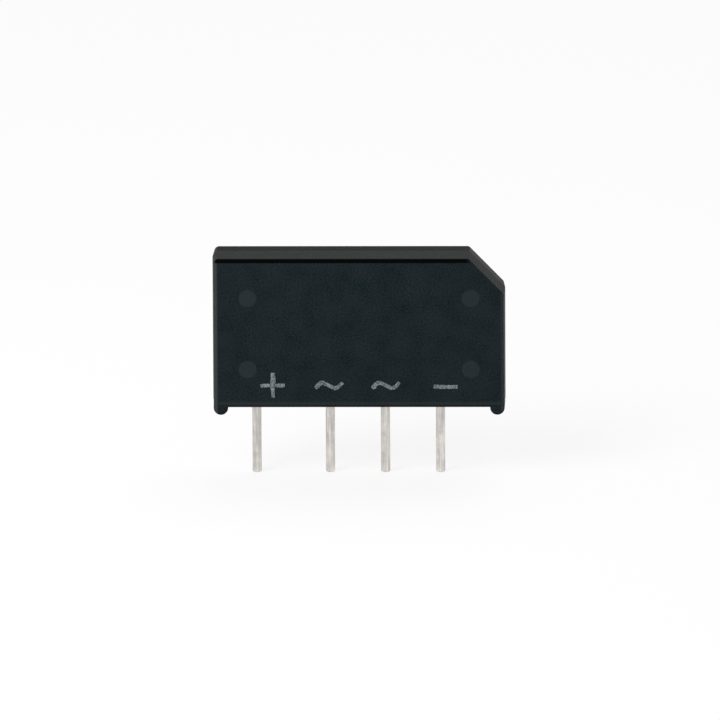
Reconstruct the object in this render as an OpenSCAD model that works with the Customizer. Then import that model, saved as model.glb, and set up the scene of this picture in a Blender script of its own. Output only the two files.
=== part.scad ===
// In-line bridge rectifier: a moulded body on two half-round feet, four round leads in a row,
// and the dice, clips and solder that the moulding encloses.
// The origin lies on the axis of the plus lead, at the level that the feet stand on.
// +X runs along the row of leads, the marked front faces -Y and the leads point down.

/* [Body] */
// Width of the moulding at its parting line
body_w = 20.2; // [19.4:0.1:23]
// Height of the moulding above its feet
body_h = 10.85; // [10:0.05:13]
// Thickness of the moulding
body_t = 3.5; // [3.2:0.1:4.5]
// Draft of the edge faces, from the parting line to the front and to the back, in degrees
draft = 3.5; // [1:0.5:6]
// Rounding along the front and back edges
edge_r = 0.2; // [0.1:0.01:0.22]
// Width of the flat land at the parting line
parting_land = 0.1; // [0.05:0.05:0.3]
// Radius of the plain upper corner, over the plus lead
corner_r = 0.45; // [0.45:0.05:1]
// Width of the bevelled upper corner, over the minus lead
bevel_w = 2.46; // [1.8:0.01:3]
// Height of the bevelled upper corner
bevel_h = 2.58; // [1.5:0.01:3]
// Radius of the two corners of the bevel at the parting line
bevel_r = 0.1; // [0.05:0.05:0.2]
// Radius of those corners, and of the lower ones, in the flat front and back
face_r = 0.05; // [0.05:0.01:0.1]
// Radius of the half-round feet at the parting line
foot_r = 0.53; // [0.4:0.01:0.8]
// Height that the feet lift the body by
foot_h = 0.49; // [0.3:0.01:0.8]
// Draft of the feet, in degrees
foot_draft = 1; // [0.5:0.5:3]
// Step of the feet behind the end faces of the body
foot_step = 0.02; // [0.01:0.01:0.05]

/* [Ejector marks] */
// Diameter of the round marks that the ejector pins leave on the front
mark_d = 1.3; // [0.8:0.1:2]
// Depth of the marks
mark_depth = 0.03; // [0.01:0.01:0.1]
// Distance from each end of the body to the centres of the marks
mark_inset = 2.4; // [1.8:0.1:3.5]
// Height of the lower marks over the underside of the body
mark_low = 2.85; // [2:0.05:3.5]
// Distance between the lower and the upper marks
mark_rise = 5.1; // [4:0.1:5.5]

/* [Leads] */
// Diameter of the leads
lead_d = 0.64; // [0.5:0.02:0.8]
// Distance from the end of the body to the axis of the plus lead
lead_inset = 3; // [2.5:0.1:3.5]
// Distance from the plus lead to the left AC lead
plus_pitch = 5.08; // [4.6:0.01:5.5]
// Distance between the two AC leads
ac_pitch = 3.81; // [3.5:0.01:4.2]
// Distance from the right AC lead to the minus lead
minus_pitch = 3.81; // [3.5:0.01:4.2]
// Length of the leads below the level of the feet
lead_drop = 4.5; // [3:0.05:15]
// Bevel round the cut tips of the leads
tip_bevel = 0.06; // [0.02:0.01:0.15]

/* [Flattened lead ends] */
// Length of round lead inside the moulding, before its flattened end starts
round_in = 0.1; // [0.05:0.05:0.15]
// Thickness of the flattened lead ends
paddle_t = 0.4; // [0.3:0.05:0.5]
// Width of the flattened necks, under the shoulders
neck_w = 0.8; // [0.7:0.05:1]
// Width of the flattened ends that stand up from the leads
paddle_w = 2.4; // [2.2:0.1:2.6]
// Height of the shoulders, where a lead widens to its flattened end
shoulder_h = 0.9; // [0.6:0.1:1.1]
// Height of the bar that the plus lead turns into, over both AC leads
bar_h = 2; // [1.9:0.1:2.2]
// Gap between the bar and the ends of the AC leads below it
frame_gap = 1; // [0.7:0.1:1.1]
// Length of the minus lead's flattened end above the low row of dice
minus_rise = 1.2; // [1:0.1:1.6]
// Moulding under the shoulders of the leads
cover_below = 0.7; // [0.5:0.1:0.9]
// Moulding over the bar
cover_above = 1.1; // [0.8:0.1:1.4]

/* [Dice] */
// Side of the silicon dice
die_w = 1.5; // [1.3:0.1:1.6]
// Thickness of the dice
die_t = 0.25; // [0.2:0.01:0.3]
// Width of the sloped rim round the top contact of a die
mesa_rim = 0.15; // [0.08:0.01:0.18]
// Depth of that sloped rim
mesa_depth = 0.1; // [0.05:0.01:0.15]
// Distance from the underside of the body to the centres of the low row of dice
low_row = 3.4; // [3.2:0.1:3.6]

/* [Clips and solder] */
// Thickness of the clips
clip_t = 0.25; // [0.2:0.01:0.3]
// Width of the clips
clip_w = 1.1; // [0.9:0.1:1.2]
// Overlap of a clip past the centre of the die at its end
clip_lap = 0.55; // [0.45:0.05:0.65]
// Length of the sloped step in a clip
clip_step = 0.8; // [0.6:0.1:0.9]
// Length of the soldered foot of a clip
clip_foot = 1.2; // [1:0.1:1.3]
// Distance from the end of an AC lead to the foot of the clip that is soldered to it
clip_edge = 0.1; // [0.05:0.05:0.2]
// Thickness of the solder joints
solder_t = 0.05; // [0.03:0.01:0.1]
// Margin from the edge of a die or a clip to its solder
solder_margin = 0.05; // [0.02:0.01:0.1]

/* [Hidden] */

epoxy_color = "#1f272a";
tin_color = "#c9c6c0";
copper_color = "#b5734a";
solder_color = "#a8adb0";
silicon_color = "#4b4f63";

round_fn = 64;
post_fn = 32;
edge_steps = 6;

// The row of leads
plus_x = 0;
left_ac_x = plus_x + plus_pitch;
right_ac_x = left_ac_x + ac_pitch;
minus_x = right_ac_x + minus_pitch;

// The outline of the body, at its parting line
left_x = plus_x - lead_inset;
right_x = left_x + body_w;
under_z = foot_h;
top_z = under_z + body_h;

// The flattened lead ends, and the two rows of dice on them
neck_z = under_z + round_in;
shoulder_z = under_z + cover_below;
bar_top_z = top_z - cover_above;
bar_low_z = bar_top_z - bar_h;
ac_top_z = bar_low_z - frame_gap;
low_die_z = under_z + low_row;
high_die_z = (bar_low_z + bar_top_z) / 2;
minus_top_z = low_die_z + minus_rise;

// Levels in front of the flattened lead ends
frame_y = paddle_t / 2;
die_y = frame_y + solder_t;
top_solder_y = die_y + die_t;
clip_y = top_solder_y + solder_t;
clip_foot_y = frame_y + solder_t;
contact_w = die_w - 2 * mesa_rim;

// Where the clips start, past the centres of the dice, and how far they reach
ac_clip_z = high_die_z + clip_lap;
ac_clip_reach = ac_clip_z - ac_top_z + clip_edge + clip_foot;
minus_clip_x = left_ac_x - clip_lap;
minus_clip_reach = minus_x - minus_clip_x + clip_foot / 2;

// Half of the moulding's section at a corner of the given radius and draft: [distance from the
// corner's axis, distance from the parting line]. The edge face leans in by the draft and ends in
// a round edge.
function core_r(r, lean) =
    r - (body_t / 2 - edge_r - parting_land / 2) * tan(lean) - edge_r / cos(lean);
function half_section(r, lean) = concat(
    [[r, parting_land / 2]],
    [for (i = [0:edge_steps])
        let (a = lean + (90 - lean) * i / edge_steps)
        [core_r(r, lean) + edge_r * cos(a), body_t / 2 - edge_r + edge_r * sin(a)]]
);
function reversed(points) = [for (i = [len(points) - 1:-1:0]) points[i]];
function section(r, lean) = concat(
    [[0, -body_t / 2]],
    [for (p = reversed(half_section(r, lean))) [p[0], -p[1]]],
    half_section(r, lean),
    [[0, body_t / 2]]
);

// Radius at the parting line of a corner that has face_r left in the flat front and back
turn_r = face_r - core_r(0, draft);

// A corner of the moulding, as a turned post that runs through its thickness
module corner_post(x, z, r, lean = draft) {
    translate([x, 0, z])
        rotate([90, 0, 0])
            rotate_extrude($fn = post_fn)
                polygon(section(r, lean));
}

// The axes, in X and Z, of round corners of the given radius at the two ends of the bevel
bevel_turn = atan(bevel_w / bevel_h);
function bevel_low(r) = [right_x - r, top_z - bevel_h - r * tan(bevel_turn / 2)];
function bevel_high(r) = [right_x - bevel_w - r * tan(45 - bevel_turn / 2), top_z - r];

module body_block() {
    hull() {
        corner_post(left_x + turn_r, under_z + turn_r, turn_r);
        corner_post(right_x - turn_r, under_z + turn_r, turn_r);
        corner_post(bevel_low(turn_r)[0], bevel_low(turn_r)[1], turn_r);
        corner_post(bevel_high(turn_r)[0], bevel_high(turn_r)[1], turn_r);
        corner_post(left_x + corner_r, top_z - corner_r, corner_r);
        for (axis = [bevel_low(bevel_r), bevel_high(bevel_r)])
            translate([axis[0], 0, axis[1]])
                rotate([90, 0, 0])
                    cylinder(r = bevel_r, h = parting_land, center = true, $fn = post_fn);
    }
}

// The feet run up inside the ends of the body. Their outer sides carry on its end faces, and
// turn from the body's draft to their own.
module feet() {
    for (x = [left_x + foot_step + foot_r, right_x - foot_step - foot_r])
        hull() {
            corner_post(x, foot_r, foot_r, foot_draft);
            corner_post(x, under_z + turn_r, foot_r);
        }
}

module ejector_marks() {
    for (x = [left_x + mark_inset, right_x - mark_inset], z = [mark_low, mark_low + mark_rise])
        translate([x, -body_t / 2 - mark_depth, under_z + z])
            rotate([-90, 0, 0])
                cylinder(d = mark_d, h = 2 * mark_depth, $fn = round_fn);
}

// The round part of a lead, from its cut tip up to its flattened neck
module shank(x) {
    tip_r = lead_d / 2 - tip_bevel;
    translate([x, 0, -lead_drop]) {
        cylinder(r1 = tip_r, r2 = lead_d / 2, h = tip_bevel, $fn = round_fn);
        translate([0, 0, tip_bevel])
            cylinder(d = lead_d, h = neck_z + lead_drop - tip_bevel, $fn = round_fn);
    }
}

// A flat shape drawn in X and Z, centred on the parting plane
module flat_part(thickness) {
    rotate([90, 0, 0])
        linear_extrude(height = thickness, center = true)
            children();
}

module lead(x, top) {
    color(tin_color) {
        shank(x);
        flat_part(paddle_t)
            polygon([
                [x - neck_w / 2, neck_z],
                [x + neck_w / 2, neck_z],
                [x + neck_w / 2, shoulder_z],
                [x + paddle_w / 2, shoulder_z + shoulder_h],
                [x + paddle_w / 2, top],
                [x - paddle_w / 2, top],
                [x - paddle_w / 2, shoulder_z + shoulder_h],
                [x - neck_w / 2, shoulder_z]
            ]);
    }
}

// The plus lead's flattened end turns along the top of the frame and carries the upper dice
module plus_lead() {
    color(tin_color) {
        shank(plus_x);
        flat_part(paddle_t)
            polygon([
                [plus_x - neck_w / 2, neck_z],
                [plus_x + neck_w / 2, neck_z],
                [plus_x + neck_w / 2, shoulder_z],
                [plus_x + paddle_w / 2, shoulder_z + shoulder_h],
                [plus_x + paddle_w / 2, bar_low_z],
                [right_ac_x + paddle_w / 2, bar_low_z],
                [right_ac_x + paddle_w / 2, bar_top_z],
                [plus_x - paddle_w / 2, bar_top_z],
                [plus_x - paddle_w / 2, shoulder_z + shoulder_h],
                [plus_x - neck_w / 2, shoulder_z]
            ]);
    }
}

module left_ac_lead() {
    lead(left_ac_x, ac_top_z);
}

module right_ac_lead() {
    lead(right_ac_x, ac_top_z);
}

module minus_lead() {
    lead(minus_x, minus_top_z);
}

// A square pad that lies in front of the frame, from the level y outwards
module pad(x, z, y, w, h, t) {
    translate([x - w / 2, -y - t, z - h / 2])
        cube([w, t, h]);
}

// A die: a square plate whose front edge is cut back to a sloped rim round its contact
module die(x, z) {
    profile = [
        [-die_w / 2, 0],
        [die_w / 2, 0],
        [die_w / 2, die_t - mesa_depth],
        [contact_w / 2, die_t],
        [-contact_w / 2, die_t],
        [-die_w / 2, die_t - mesa_depth]
    ];
    color(silicon_color)
        translate([x, -die_y, z])
            rotate([90, 0, 0])
                intersection() {
                    rotate([90, 0, 0])
                        linear_extrude(height = die_w, center = true)
                            polygon(profile);
                    rotate([90, 0, 90])
                        linear_extrude(height = die_w, center = true)
                            polygon(profile);
                }
}

module base_solder(x, z) {
    w = die_w - 2 * solder_margin;
    color(solder_color)
        pad(x, z, frame_y, w, w, solder_t);
}

module top_solder(x, z) {
    w = contact_w - 2 * solder_margin;
    color(solder_color)
        pad(x, z, top_solder_y, w, w, solder_t);
}

// The side view of a clip that starts over a die and steps down to a frame foot:
// [distance along the clip, distance in front of the parting plane]
function clip_profile(reach) =
    let (
        fall = clip_y - clip_foot_y,
        shift = clip_t * tan(atan(fall / clip_step) / 2),
        foot_start = reach - clip_foot,
        step_start = foot_start - clip_step
    )
    [
        [0, clip_y],
        [step_start, clip_y],
        [foot_start, clip_foot_y],
        [reach, clip_foot_y],
        [reach, clip_foot_y + clip_t],
        [foot_start + shift, clip_foot_y + clip_t],
        [step_start + shift, clip_y + clip_t],
        [0, clip_y + clip_t]
    ];

// A clip that runs down from an upper die to the AC lead below it
module ac_clip(x) {
    color(copper_color)
        translate([x, 0, ac_clip_z])
            rotate([0, 90, 0])
                linear_extrude(height = clip_w, center = true)
                    polygon([for (p = clip_profile(ac_clip_reach)) [p[0], -p[1]]]);
}

module ac_clip_solder(x) {
    color(solder_color)
        pad(
            x,
            ac_clip_z - ac_clip_reach + clip_foot / 2,
            frame_y,
            clip_w - 2 * solder_margin,
            clip_foot - 2 * solder_margin,
            solder_t
        );
}

module minus_clip() {
    color(copper_color)
        translate([minus_clip_x, 0, low_die_z])
            linear_extrude(height = clip_w, center = true)
                polygon([for (p = clip_profile(minus_clip_reach)) [p[0], -p[1]]]);
}

module minus_clip_solder() {
    color(solder_color)
        pad(
            minus_x,
            low_die_z,
            frame_y,
            clip_foot - 2 * solder_margin,
            clip_w - 2 * solder_margin,
            solder_t
        );
}

// Everything that the moulding closes on
module enclosed_parts() {
    plus_lead();
    left_ac_lead();
    right_ac_lead();
    minus_lead();
    for (x = [left_ac_x, right_ac_x]) {
        for (z = [low_die_z, high_die_z]) {
            base_solder(x, z);
            die(x, z);
            top_solder(x, z);
        }
        ac_clip(x);
        ac_clip_solder(x);
    }
    minus_clip();
    minus_clip_solder();
}

module moulded_body() {
    color(epoxy_color)
        difference() {
            union() {
                body_block();
                feet();
            }
            ejector_marks();
            enclosed_parts();
        }
}

moulded_body();
plus_lead();
left_ac_lead();
right_ac_lead();
minus_lead();
die(left_ac_x, high_die_z);  // upper_left_die
die(right_ac_x, high_die_z);  // upper_right_die
die(left_ac_x, low_die_z);  // lower_left_die
die(right_ac_x, low_die_z);  // lower_right_die
ac_clip(left_ac_x);  // left_ac_clip
ac_clip(right_ac_x);  // right_ac_clip
minus_clip();
base_solder(left_ac_x, high_die_z);  // upper_left_die_base_solder
base_solder(right_ac_x, high_die_z);  // upper_right_die_base_solder
base_solder(left_ac_x, low_die_z);  // lower_left_die_base_solder
base_solder(right_ac_x, low_die_z);  // lower_right_die_base_solder
top_solder(left_ac_x, high_die_z);  // upper_left_die_top_solder
top_solder(right_ac_x, high_die_z);  // upper_right_die_top_solder
top_solder(left_ac_x, low_die_z);  // lower_left_die_top_solder
top_solder(right_ac_x, low_die_z);  // lower_right_die_top_solder
ac_clip_solder(left_ac_x);  // left_ac_clip_solder
ac_clip_solder(right_ac_x);  // right_ac_clip_solder
minus_clip_solder();
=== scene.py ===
"""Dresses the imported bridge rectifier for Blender: finishes, polarity signs, lights and camera.

Lengths are in metres, in the part's own frame: +X along the row of leads, the marked front
faces -Y, and the leads point down. Colours are linear red, green and blue.
"""

import math

import bmesh
import bpy
from mathutils import Matrix, Vector, noise

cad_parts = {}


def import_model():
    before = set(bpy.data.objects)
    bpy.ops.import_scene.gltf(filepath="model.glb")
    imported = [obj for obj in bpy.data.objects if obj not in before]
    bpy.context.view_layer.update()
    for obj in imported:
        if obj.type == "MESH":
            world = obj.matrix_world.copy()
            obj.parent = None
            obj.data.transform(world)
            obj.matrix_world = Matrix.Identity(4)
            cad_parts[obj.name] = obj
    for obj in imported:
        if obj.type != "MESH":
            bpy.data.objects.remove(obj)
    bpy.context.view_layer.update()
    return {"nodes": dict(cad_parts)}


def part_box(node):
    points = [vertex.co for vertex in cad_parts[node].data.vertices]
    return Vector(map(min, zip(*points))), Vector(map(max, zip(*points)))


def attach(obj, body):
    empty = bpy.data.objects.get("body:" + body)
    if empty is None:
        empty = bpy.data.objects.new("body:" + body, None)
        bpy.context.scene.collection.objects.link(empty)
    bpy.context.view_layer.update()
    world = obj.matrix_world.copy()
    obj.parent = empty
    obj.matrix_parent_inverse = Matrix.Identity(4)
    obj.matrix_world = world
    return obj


MM = 0.001

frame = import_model()
nodes = frame["nodes"]


# ---------------------------------------------------------------- places read from the frame

body_low, body_high = (Vector(corner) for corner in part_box("moulded_body"))
front_y = body_low.y
floor_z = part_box("plus_lead")[0][2]

# A lead's pin is in the middle of its box, apart from the plus lead's, which is at the origin
lead_x = {
    name: (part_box(name)[0][0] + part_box(name)[1][0]) / 2
    for name in ("left_ac_lead", "right_ac_lead", "minus_lead")
}
lead_x["plus_lead"] = 0.0

# These repeat sizes of the moulding that its box doesn't give
EDGE_R = 0.2 * MM
DRAFT = math.radians(3.5)
BEVEL_W = 2.46 * MM
UNDER_Z = 0.49 * MM
MARK_DEPTH = 0.03 * MM

# The height of the top's front edge before it is rounded, and where the bevel starts
edge_top_z = body_high.z + front_y * math.tan(DRAFT)
bevel_x = body_high.x - BEVEL_W


# ---------------------------------------------------------------- node helpers

def by_identifier(sockets):
    """A Mix node has several sockets of one name, which only their identifiers tell apart."""
    return {socket.identifier: socket for socket in sockets}


class Graph:
    """A short way to write a material's nodes."""

    def __init__(self, name):
        self.material = bpy.data.materials.new(name)
        self.material.use_nodes = True
        self.tree = self.material.node_tree
        self.shader = self.tree.nodes["Principled BSDF"]

    def add(self, kind, **values):
        """A new node with its settings, each a property or an input."""
        node = self.tree.nodes.new(kind)
        for name, value in values.items():
            if hasattr(node, name):
                setattr(node, name, value)
            else:
                node.inputs[name].default_value = value
        return node

    def link(self, source, target):
        self.tree.links.new(source, target)

    def set(self, name, value):
        """Gives an input of the shader one value all over."""
        self.shader.inputs[name].default_value = value

    def feed(self, name, source):
        """Lets a node drive an input of the shader."""
        self.link(source, self.shader.inputs[name])

    def place(self):
        """A point's place in the part's frame, because every dressed object sits at the origin."""
        return self.add("ShaderNodeTexCoord").outputs["Object"]

    def axes(self, vector):
        node = self.add("ShaderNodeSeparateXYZ")
        self.link(vector, node.inputs[0])
        return node.outputs

    def math(self, operation, a, b=None):
        """Arithmetic on one or two values, each a number or a socket."""
        node = self.add("ShaderNodeMath", operation=operation)
        for socket, value in zip(node.inputs, (a, b)):
            if isinstance(value, float):
                socket.default_value = value
            elif value is not None:
                self.link(value, socket)
        return node.outputs[0]

    def product(self, value, *others):
        """All the values multiplied together."""
        for other in others:
            value = self.math("MULTIPLY", value, other)
        return value

    def blend(self, a, b, share):
        """Two values added together, with this share of the first."""
        return self.math("ADD", self.product(a, share), self.product(b, 1.0 - share))

    def ramp(self, value, low, high, out_low=0.0, out_high=1.0, smooth=True):
        """Takes low to out_low and high to out_high, and holds those beyond them."""
        node = self.add(
            "ShaderNodeMapRange",
            interpolation_type="SMOOTHSTEP" if smooth else "LINEAR",
        )
        self.link(value, node.inputs["Value"])
        for name, number in (
            ("From Min", low),
            ("From Max", high),
            ("To Min", out_low),
            ("To Max", out_high),
        ):
            node.inputs[name].default_value = number
        return node.outputs["Result"]

    def noise(self, vector, scale, detail=2.0, roughness=0.5):
        """Soft random patches, about this many to the metre."""
        node = self.add("ShaderNodeTexNoise", Scale=scale, Detail=detail, Roughness=roughness)
        self.link(vector, node.inputs["Vector"])
        return node.outputs["Fac"]

    def mix(self, factor, a, b):
        """A colour between two others, each a socket or a tuple."""
        node = self.add("ShaderNodeMix", data_type="RGBA")
        sockets = by_identifier(node.inputs)
        self.link(factor, sockets["Factor_Float"])
        for key, value in (("A_Color", a), ("B_Color", b)):
            if isinstance(value, tuple):
                sockets[key].default_value = (*value, 1.0)
            else:
                self.link(value, sockets[key])
        return by_identifier(node.outputs)["Result_Color"]

    def bump(self, height, distance, strength):
        node = self.add("ShaderNodeBump", Strength=strength, Distance=distance)
        self.link(height, node.inputs["Height"])
        self.feed("Normal", node.outputs["Normal"])


# ---------------------------------------------------------------- the moulding's epoxy

# Each pair is the dark and the light end of the grain
EPOXY_FACE = (0.0024, 0.0078, 0.0100), (0.0170, 0.0250, 0.0282)
# The edge faces' grain is a paler, more neutral black that partly paints in the sheen they catch
EPOXY_EDGE_AND_SHEEN = (0.0075, 0.0091, 0.0083), (0.0185, 0.0213, 0.0199)
EPOXY_DRIFT = (0.0120, 0.0150, 0.0185)
# Painted shade that darkens the rear half of the top
EPOXY_REAR_TOP_SHADE = (0.0012, 0.0020, 0.0016)
# Painted highlight on the rounded ends and in a band above the underside
EPOXY_RIM_HIGHLIGHT = (0.035, 0.042, 0.043)
EPOXY_MARK = (0.023, 0.031, 0.036)
# Painted shade, for the line along the top front edge and the rounding that turns down
EPOXY_PAINTED_SHADE = (0.0001, 0.0007, 0.0009)

# Patches to the metre
EPOXY_GRAIN_SCALE = 8000.0
EPOXY_CLOUD_SCALE = 700.0
EPOXY_DRIFT_SCALE = 1400.0
GRAIN_SHARE = 0.75

# Where the painted rim highlights fade in or out: inwards from each end, and up from the underside
LEFT_RIM = (0.27 * MM, 0.39 * MM)
RIGHT_RIM = (0.35 * MM, 0.2 * MM)
LOW_RIM_RISE = (0.26 * MM, 0.36 * MM)
LOW_RIM_FALL = (0.38 * MM, 0.62 * MM)

# How strongly each shows
DRIFT_STRENGTH = 0.3
REAR_TOP_SHADE_STRENGTH = 0.45
RIGHT_RIM_STRENGTH = 0.7
LOW_RIM_STRENGTH = 0.38
TURNED_DOWN_SHADE_STRENGTH = 0.7
MARK_STRENGTH = 0.7

# How much rougher the surface is there
LINE_DULL = 0.4
REAR_TOP_DULL = 0.17


def rim_highlights(g, x, z, off_edge):
    """Painted highlight bands beside the front and back faces: at the ends, and fainter along the
    underside.
    """
    ends = g.math(
        "MAXIMUM",
        g.ramp(x, body_low.x + LEFT_RIM[0], body_low.x + LEFT_RIM[1], 1.0, 0.0),
        g.ramp(x, body_high.x - RIGHT_RIM[0], body_high.x - RIGHT_RIM[1], 0.0, RIGHT_RIM_STRENGTH),
    )
    up_from = g.math("SUBTRACT", z, UNDER_Z)
    low = g.product(
        g.ramp(up_from, *LOW_RIM_RISE, 0.0, LOW_RIM_STRENGTH),
        g.ramp(up_from, *LOW_RIM_FALL, 1.0, 0.0),
    )
    return g.math("MAXIMUM", g.product(off_edge, ends), low)


def ejector_marks(g, y, facing_y):
    """The bottoms of the round marks: no other visible face behind the front looks forwards."""
    behind = g.ramp(y, front_y + 0.5 * MARK_DEPTH, front_y + 0.75 * MARK_DEPTH)
    return g.product(behind, g.ramp(facing_y, -0.99, -0.97, 1.0, 0.0), MARK_STRENGTH)


def top_shade_line(g, x, y, z):
    """A painted shade line along the top's front edge, which fades out at its left end and at the
    bevel.
    """
    across = g.math("POWER", g.math("SUBTRACT", y, front_y), 2.0)
    up = g.math("POWER", g.math("SUBTRACT", z, edge_top_z - 0.3 * EDGE_R), 2.0)
    from_edge = g.math("SQRT", g.math("ADD", across, up))
    return g.product(
        g.ramp(from_edge, 0.7 * EDGE_R, 1.2 * EDGE_R, 1.0, 0.0),
        g.ramp(x, body_low.x + 0.3 * EDGE_R, body_low.x + 1.3 * EDGE_R),
        g.ramp(x, bevel_x - 1.2 * EDGE_R, bevel_x + 0.8 * EDGE_R, 1.0, 0.0),
    )


def epoxy_material():
    """Black filled epoxy with a fine even grain. The drafted edge faces are a more neutral black,
    partly a painted sheen, and the rear half of the top has painted shade. The rounded edges carry
    painted highlights; painted shade darkens the rounding that turns downwards and makes a line along
    the top front edge. The shallow round marks that the ejector pins left have a paler bottom."""
    g = Graph("epoxy_moulding")
    place = g.place()
    x, y, z = g.axes(place)
    _, facing_y, facing_z = g.axes(g.add("ShaderNodeNewGeometry").outputs["Normal"])
    square_y = g.math("POWER", facing_y, 2.0)
    square_z = g.math("POWER", facing_z, 2.0)

    grain = g.noise(place, EPOXY_GRAIN_SCALE, 3.0, 0.6)
    tone = g.blend(grain, g.noise(place, EPOXY_CLOUD_SCALE), GRAIN_SHARE)
    tone = g.ramp(tone, 0.36, 0.64, smooth=False)
    drift = g.ramp(g.noise(place, EPOXY_DRIFT_SCALE), 0.35, 0.65, 0.0, DRIFT_STRENGTH)
    face = g.mix(drift, g.mix(tone, *EPOXY_FACE), EPOXY_DRIFT)
    on_edge = g.ramp(square_y, 0.05, 0.6, 1.0, 0.0)
    # The top, sides and underside take the paler edge colour, partly a painted sheen
    colour = g.mix(on_edge, face, g.mix(tone, *EPOXY_EDGE_AND_SHEEN))

    # The rear half of the top is painted darker, as shade, and made duller
    rear_top = g.product(g.ramp(facing_y, 0.0, 0.03), g.ramp(square_z, 0.7, 0.95))
    colour = g.mix(g.product(rear_top, REAR_TOP_SHADE_STRENGTH), colour, EPOXY_REAR_TOP_SHADE)

    off_edge = g.ramp(square_y, 0.2, 0.7)
    # Painted highlights on the rounded ends and in a band above the underside
    colour = g.mix(rim_highlights(g, x, z, off_edge), colour, EPOXY_RIM_HIGHLIGHT)
    # Painted shade on the rounding that turns downwards
    turned_down_shade = g.product(off_edge, g.ramp(facing_z, -0.6, -0.2, TURNED_DOWN_SHADE_STRENGTH, 0.0))
    colour = g.mix(turned_down_shade, colour, EPOXY_PAINTED_SHADE)
    colour = g.mix(ejector_marks(g, y, facing_y), colour, EPOXY_MARK)

    # A painted shade line along the top front edge, which is also made duller
    line = top_shade_line(g, x, y, z)
    g.feed("Base Color", g.mix(line, colour, EPOXY_PAINTED_SHADE))

    rough = g.ramp(grain, 0.3, 0.7, 0.46, 0.58)
    dull = g.math("ADD", g.product(line, LINE_DULL), g.product(rear_top, REAR_TOP_DULL))
    g.feed("Roughness", g.math("ADD", rough, dull))
    g.set("Specular IOR Level", 0.045)
    g.bump(grain, 0.006 * MM, 0.6)
    return g.material


# ---------------------------------------------------------------- the other materials

SIGN_GREY = (0.055, 0.068, 0.075), (0.26, 0.285, 0.30)
TIN_GREY = (0.495, 0.47, 0.442), (0.835, 0.797, 0.757)
COPPER_RED = (0.50, 0.20, 0.09), (0.68, 0.32, 0.17)
SOLDER_GREY = (0.42, 0.43, 0.44), (0.62, 0.63, 0.65)
SILICON_BLUE = (0.06, 0.07, 0.10), (0.12, 0.13, 0.18)

# Patches to the metre
SIGN_SPECK_SCALE = 14000.0
SIGN_CLOUD_SCALE = 2500.0
TIN_STREAK_SCALE = 6000.0
TIN_PATCH_SCALE = 1500.0

STREAK_SHARE = 0.65
STREAK_STRETCH = 0.06


def sign_material():
    """Laser-marked epoxy: pale, dull and speckled with the dark ground."""
    g = Graph("laser_mark")
    place = g.place()
    speck = g.noise(place, SIGN_SPECK_SCALE, 2.0, 0.6)
    tone = g.blend(speck, g.noise(place, SIGN_CLOUD_SCALE), GRAIN_SHARE)
    g.feed("Base Color", g.mix(g.ramp(tone, 0.38, 0.62), *SIGN_GREY))
    g.set("Roughness", 0.8)
    g.set("Specular IOR Level", 0.1)
    g.bump(speck, 0.004 * MM, 0.6)
    return g.material


def tin_material():
    """Dipped tin on round wire: satin, with faint streaks drawn along the lead."""
    g = Graph("tinned_lead")
    place = g.place()
    stretch = g.add("ShaderNodeMapping", Scale=(1.0, 1.0, STREAK_STRETCH))
    g.link(place, stretch.inputs["Vector"])
    streak = g.noise(stretch.outputs["Vector"], TIN_STREAK_SCALE, 3.0, 0.6)
    patch = g.noise(place, TIN_PATCH_SCALE)
    tone = g.blend(streak, patch, STREAK_SHARE)
    g.feed("Base Color", g.mix(g.ramp(tone, 0.32, 0.68), *TIN_GREY))
    g.set("Metallic", 1.0)
    g.feed("Roughness", g.ramp(patch, 0.3, 0.7, 0.34, 0.5))
    g.bump(streak, 0.005 * MM, 0.5)
    return g.material


def patchy_material(name, scale, detail, colours, roughness, metallic):
    """A finish whose colour and roughness vary in soft patches, for a piece in the moulding."""
    g = Graph(name)
    patch = g.noise(g.place(), scale, detail)
    g.feed("Base Color", g.mix(patch, *colours))
    g.set("Metallic", metallic)
    g.feed("Roughness", g.ramp(patch, 0.3, 0.7, *roughness))
    return g.material


def copper_material():
    return patchy_material(
        "copper_clip",
        scale=2500.0,
        detail=2.0,
        colours=COPPER_RED,
        roughness=(0.25, 0.45),
        metallic=1.0,
    )


def solder_material():
    return patchy_material(
        "solder_joint",
        scale=5000.0,
        detail=3.0,
        colours=SOLDER_GREY,
        roughness=(0.3, 0.6),
        metallic=1.0,
    )


def silicon_material():
    return patchy_material(
        "silicon_die",
        scale=3000.0,
        detail=2.0,
        colours=SILICON_BLUE,
        roughness=(0.12, 0.25),
        metallic=0.0,
    )


def dress_frame():
    """Gives each CAD node its finish, by the last word of its name."""
    finishes = {
        "body": epoxy_material(),
        "lead": tin_material(),
        "clip": copper_material(),
        "solder": solder_material(),
        "die": silicon_material(),
    }
    for name, node in nodes.items():
        node.data.materials.clear()
        node.data.materials.append(finishes[name.rsplit("_", 1)[1]])


dress_frame()


# ---------------------------------------------------------------- polarity signs

# The height of the signs' middle, and how far they stand out of the front and into it
SIGN_Z = 2.20 * MM
SIGN_PROUD = 0.008 * MM
SIGN_SUNK = 0.004 * MM

# Straight steps between two points of a stroke
CURVE_STEPS = 10

# A stroke's uneven edges: how far they stray, how often, and what sets each sign and edge apart
RAGGED = 0.03 * MM
RAGGED_SCALE = 9000.0
RAGGED_BY_SIGN = 5000.0
RAGGED_BY_EDGE = 7.0

# How far each sign stands to the right of its lead
SIGN_SHIFT = {
    "plus": 1.13 * MM,
    "left_ac": -0.07 * MM,
    "right_ac": 0.06 * MM,
    "minus": 0.38 * MM,
}

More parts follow.
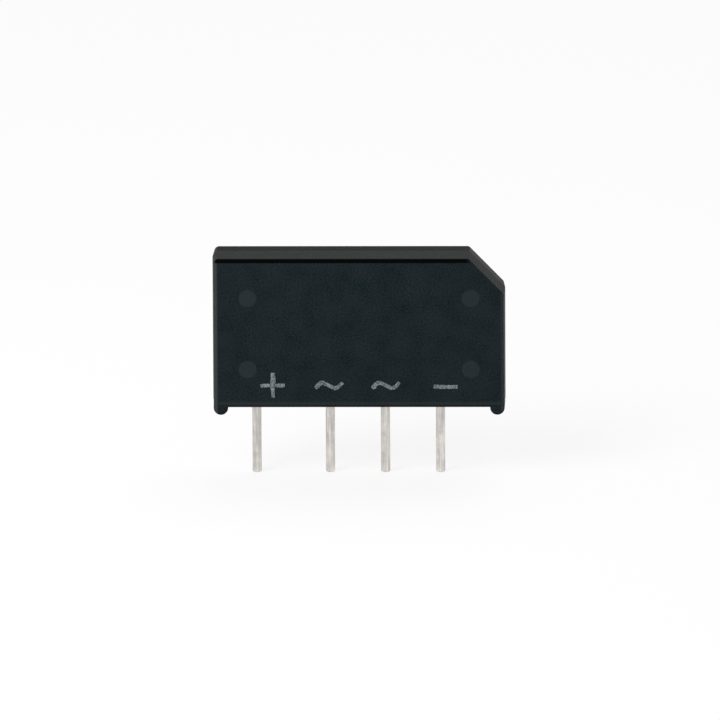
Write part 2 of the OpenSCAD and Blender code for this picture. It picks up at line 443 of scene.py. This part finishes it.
# The points of each stroke, as (x, z, width) in millimetres from the sign's centre
WAVE = [
    [
        (-0.94, -0.21, 0.22),
        (-0.82, -0.10, 0.30),
        (-0.60, 0.13, 0.31),
        (-0.38, 0.17, 0.27),
        (0.20, -0.10, 0.26),
        (0.44, -0.19, 0.27),
        (0.68, -0.08, 0.27),
        (0.95, 0.20, 0.22),
    ]
]
PLUS = [
    [
        (0.02, 0.90, 0.28),
        (0.03, 0.30, 0.34),
        (-0.01, 0.0, 0.31),
        (0.02, -0.5, 0.25),
        (0.04, -0.88, 0.19),
    ],
    [(-0.84, -0.05, 0.16), (-0.7, -0.02, 0.27), (-0.12, 0.0, 0.22)],
    [(0.12, 0.0, 0.22), (0.68, 0.0, 0.28), (0.84, 0.04, 0.20)],
]
MINUS = [[(-0.83, -0.09, 0.29), (-0.5, -0.11, 0.30), (0.3, -0.12, 0.26), (0.83, -0.12, 0.27)]]


def smooth_path(points):
    """A Catmull-Rom curve through a stroke's points."""
    points = [Vector(p) for p in points]
    ends = [2 * points[0] - points[1]] + points + [2 * points[-1] - points[-2]]
    curve = []
    for a, b, c, d in zip(ends, ends[1:], ends[2:], ends[3:]):
        for i in range(CURVE_STEPS):
            t = i / CURVE_STEPS
            curve.append(
                0.5
                * (
                    2 * b
                    + (c - a) * t
                    + (2 * a - 5 * b + 4 * c - d) * t * t
                    + (3 * b - a - 3 * c + d) * t * t * t
                )
            )
    return curve + [points[-1]]


def stroke_edges(points, centre_x):
    """The two slightly uneven edges of a stroke, as a pair of places for each step along it."""
    curve = smooth_path(points)
    pairs = []
    for i, p in enumerate(curve):
        ahead = curve[min(i + 1, len(curve) - 1)] - curve[max(i - 1, 0)]
        side = Vector((-ahead.y, ahead.x)).normalized()
        pair = []
        for way in (-1, 1):
            at = Vector((p.x, p.y)) * MM
            along = at.x * RAGGED_SCALE + centre_x * RAGGED_BY_SIGN
            wobble = noise.noise(Vector((along, at.y * RAGGED_SCALE, way * RAGGED_BY_EDGE)))
            at += side * way * (p.z * MM / 2 + RAGGED * wobble)
            pair.append(at)
        pairs.append(pair)
    return pairs


def stroke(bm, points, centre_x):
    """One stroke of a sign, as a thin closed ribbon that is sunk a little into the front face."""
    pairs = stroke_edges(points, centre_x)
    layers = []
    for y in (front_y - SIGN_PROUD, front_y + SIGN_SUNK):
        layers.append(
            [[bm.verts.new((centre_x + q.x, y, SIGN_Z + q.y)) for q in pair] for pair in pairs]
        )
    top, under = layers
    for i in range(len(pairs) - 1):
        for layer in layers:
            bm.faces.new((layer[i][0], layer[i + 1][0], layer[i + 1][1], layer[i][1]))
        for k in (0, 1):
            bm.faces.new((top[i][k], top[i + 1][k], under[i + 1][k], under[i][k]))
    for i in (0, -1):
        bm.faces.new((top[i][0], top[i][1], under[i][1], under[i][0]))


def sign(name, centre_x, strokes, material):
    bm = bmesh.new()
    for points in strokes:
        stroke(bm, points, centre_x)
    bmesh.ops.recalc_face_normals(bm, faces=bm.faces)
    mesh = bpy.data.meshes.new(name)
    bm.to_mesh(mesh)
    bm.free()
    obj = bpy.data.objects.new(name, mesh)
    bpy.context.collection.objects.link(obj)
    mesh.materials.append(material)
    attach(obj, "root")


def signs():
    """Plus, two alternating-current waves and minus, each over its lead or to the right of it."""
    material = sign_material()
    strokes = {"plus": PLUS, "left_ac": WAVE, "right_ac": WAVE, "minus": MINUS}
    for name, shift in SIGN_SHIFT.items():
        sign(f"{name}_sign", lead_x[f"{name}_lead"] + shift, strokes[name], material)


signs()


# ---------------------------------------------------------------- floor, light and camera

# How much of the floor is plain white to the camera, while the rest of it keeps the shadow
FLOOR_WHITE = 0.8
FLOOR_HALF = 3.0
FLOOR_DROP = 0.02 * MM
WORLD_LIGHT = 0.5

# A much longer lens would put the part past the far clip of the views from other sides
CAMERA_DISTANCE = 1.6
CAMERA_ELEVATION = 16.5
CAMERA_AZIMUTH = 0.81
CAMERA_ROLL = -0.27
CAMERA_CLIP = (0.01, 20.0)
SENSOR = 36.0
FRAME_WIDTH = 49.75 * MM
AIM_RIGHT = 0.05 * MM
AIM_Z = 3.507 * MM


def rays_that_see(tree):
    """1 for the rays that show a background: the camera's, reflected and transmitted ones."""
    path = tree.nodes.new("ShaderNodeLightPath")
    seen = path.outputs["Is Camera Ray"]
    for ray in ("Is Glossy Ray", "Is Transmission Ray"):
        larger = tree.nodes.new("ShaderNodeMath")
        larger.operation = "MAXIMUM"
        tree.links.new(seen, larger.inputs[0])
        tree.links.new(path.outputs[ray], larger.inputs[1])
        seen = larger.outputs[0]
    return seen


def mix_shaders(tree, factor, first, second, output):
    mix = tree.nodes.new("ShaderNodeMixShader")
    tree.links.new(factor, mix.inputs[0])
    tree.links.new(first.outputs[0], mix.inputs[1])
    tree.links.new(second.outputs[0], mix.inputs[2])
    tree.links.new(mix.outputs[0], tree.nodes[output].inputs["Surface"])


def floor():
    """A pale floor just under the lead tips, which looks nearly white and keeps the shadow."""
    mesh = bpy.data.meshes.new("floor")
    bm = bmesh.new()
    bmesh.ops.create_grid(bm, x_segments=1, y_segments=1, size=FLOOR_HALF)
    bm.to_mesh(mesh)
    bm.free()
    obj = bpy.data.objects.new("floor", mesh)
    obj.location.z = floor_z - FLOOR_DROP
    bpy.context.collection.objects.link(obj)
    g = Graph("floor")
    g.set("Base Color", (0.9, 0.9, 0.9, 1.0))
    g.set("Roughness", 0.9)
    g.set("Specular IOR Level", 0.0)
    white = g.add("ShaderNodeEmission", Strength=1.0)
    seen = g.product(rays_that_see(g.tree), FLOOR_WHITE)
    mix_shaders(g.tree, seen, g.shader, white, "Material Output")
    obj.data.materials.append(g.material)


def world():
    """A plain white world that is as bright as WORLD_LIGHT on the object and white where seen."""
    studio = bpy.data.worlds.new("studio")
    studio.use_nodes = True
    tree = studio.node_tree
    light = tree.nodes["Background"]
    white = tree.nodes.new("ShaderNodeBackground")
    for node, strength in ((light, WORLD_LIGHT), (white, 1.0)):
        node.inputs["Color"].default_value = (1.0, 1.0, 1.0, 1.0)
        node.inputs["Strength"].default_value = strength
    mix_shaders(tree, rays_that_see(tree), light, white, "World Output")
    bpy.context.scene.world = studio


def way_to(azimuth, elevation):
    """The way out from the aim, from angles in degrees: azimuth 0 is straight in front."""
    a, e = math.radians(azimuth), math.radians(elevation)
    return Vector((math.sin(a) * math.cos(e), -math.cos(a) * math.cos(e), math.sin(e)))


def area_light(name, aim, azimuth, elevation, distance, size, energy):
    """A square softbox that looks at the aim."""
    data = bpy.data.lights.new(name, "AREA")
    data.shape = "SQUARE"
    data.size = size
    data.energy = energy
    obj = bpy.data.objects.new(name, data)
    away = way_to(azimuth, elevation)
    obj.location = aim + away * distance
    obj.rotation_euler = away.to_track_quat("Z", "Y").to_euler()
    bpy.context.collection.objects.link(obj)


def camera(aim):
    """A long lens that looks slightly down at the front; FRAME_WIDTH is what it sees at the aim."""
    data = bpy.data.cameras.new("camera")
    data.sensor_width = SENSOR
    data.lens = SENSOR * CAMERA_DISTANCE / FRAME_WIDTH
    data.clip_start, data.clip_end = CAMERA_CLIP
    obj = bpy.data.objects.new("camera", data)
    away = way_to(CAMERA_AZIMUTH, CAMERA_ELEVATION)
    turn = away.to_track_quat("Z", "Y").to_matrix() @ Matrix.Rotation(math.radians(CAMERA_ROLL), 3, "Z")
    obj.location = aim + away * CAMERA_DISTANCE
    obj.rotation_euler = turn.to_euler()
    bpy.context.collection.objects.link(obj)
    bpy.context.scene.camera = obj


body_mid = (body_low + body_high) / 2
aim = Vector((body_mid.x + AIM_RIGHT, 0.0, AIM_Z))
floor()
world()
area_light("key_softbox", aim, azimuth=-50.0, elevation=40.0, distance=0.2, size=0.12, energy=0.26)
area_light("top_softbox", aim, azimuth=150.0, elevation=60.0, distance=0.5, size=0.4, energy=0.8)
camera(aim)
bpy.context.scene.view_settings.view_transform = "Standard"
